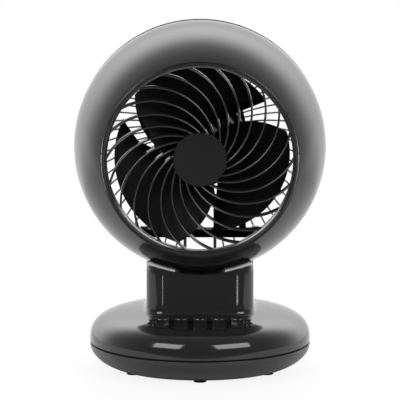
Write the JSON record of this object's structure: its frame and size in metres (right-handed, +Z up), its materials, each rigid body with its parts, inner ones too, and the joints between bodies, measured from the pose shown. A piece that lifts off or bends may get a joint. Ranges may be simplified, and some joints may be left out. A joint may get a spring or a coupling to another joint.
{
  "type": "air circulator fan",
  "caption": "Desk air circulator: a ball-shaped head with a spiral-vane grille tilts on a saddle and swings on a round pedestal base with push keys.",
  "frame": {"origin": "on the floor under the axis of the round base", "axes": "+Z up, -Y out of the front grille, +X to the right seen from the front"},
  "size_m": [0.252, 0.22, 0.351],
  "materials": {
    "gloss_black": "moulded gloss black",
    "satin_black": "satin black",
    "matt_black": "fine matt black",
    "grey_plastic": "plain grey",
    "white_plastic": "natural acetal",
    "rubber": "matt black rubber",
    "steel": "zinc plated",
    "dark_steel": "dark painted steel",
    "bronze": "sintered bronze"
  },
  "bodies": {
    "base": {"base_cover": "gloss_black", "base_bottom": "satin_black", "thrust_washer": "white_plastic", "ballast": "dark_steel", "swing_motor": "steel", "swing_screw_left": "steel", "swing_screw_right": "steel", "switch_body": "matt_black", "capacitor": "grey_plastic", "cord_bush": "rubber", "foot_1": "rubber", "foot_2": "rubber", "foot_3": "rubber", "foot_4": "rubber", "foot_5": "rubber", "foot_6": "rubber", "case_screw_1": "steel", "case_screw_2": "steel", "case_screw_3": "steel", "case_screw_4": "steel"},
    "turret": {"turret": "matt_black", "sector_gear": "white_plastic", "tilt_clamp": "grey_plastic", "clamp_washer": "steel", "clamp_screw": "steel", "clamp_nut": "steel"},
    "head": {"front_shell": "gloss_black", "front_grille": "satin_black", "hub_cap": "satin_black", "rear_grille": "satin_black", "motor_front_case": "dark_steel", "motor_rear_case": "dark_steel", "motor_bracket": "matt_black", "stator": "steel", "motor_bearing_front": "bronze", "motor_bearing_rear": "bronze", "bracket_screw_left": "steel", "bracket_screw_right": "steel"},
    "impeller": {"impeller": "matt_black", "motor_shaft": "steel", "rotor": "steel", "impeller_nut": "matt_black"},
    "pinion": {"swing_pinion": "white_plastic"},
    "key_off": {"key_off": "gloss_black"},
    "key_low": {"key_low": "gloss_black"},
    "key_medium": {"key_medium": "gloss_black"},
    "key_high": {"key_high": "gloss_black"},
    "key_swing": {"key_swing": "gloss_black"}
  },
  "joints": [
    {"name": "swing", "type": "hinge", "parent": "base", "child": "turret", "pos_m": [0, 0, 0.02], "axis": [0, 0, 1], "range_deg": [-35, 35]},
    {"name": "tilt", "type": "hinge", "parent": "turret", "child": "head", "pos_m": [0, 0, 0.225], "axis": [-1, 0, 0], "range_deg": [-10, 45]},
    {"name": "impeller_spin", "type": "hinge", "parent": "head", "child": "impeller", "pos_m": [0, 0, 0.225], "axis": [0, -1, 0], "continuous": true},
    {"name": "pinion_spin", "type": "hinge", "parent": "base", "child": "pinion", "pos_m": [0, 0.06, 0.02], "axis": [0, 0, 1], "range_deg": [-145, 145]},
    {"name": "key_off_press", "type": "slide", "parent": "base", "child": "key_off", "axis": [0, 0, -1], "range_m": [0, 0.004], "stiffness_N_per_m": 400},
    {"name": "key_low_press", "type": "slide", "parent": "base", "child": "key_low", "axis": [0, 0, -1], "range_m": [0, 0.004], "stiffness_N_per_m": 400},
    {"name": "key_medium_press", "type": "slide", "parent": "base", "child": "key_medium", "axis": [0, 0, -1], "range_m": [0, 0.004], "stiffness_N_per_m": 400},
    {"name": "key_high_press", "type": "slide", "parent": "base", "child": "key_high", "axis": [0, 0, -1], "range_m": [0, 0.004], "stiffness_N_per_m": 400},
    {"name": "key_swing_press", "type": "slide", "parent": "base", "child": "key_swing", "axis": [0, 0, -1], "range_m": [0, 0.004], "stiffness_N_per_m": 400}
  ],
  "couplings": [
    {"joint": "pinion_spin", "follows": "swing", "ratio": -4}
  ]
}
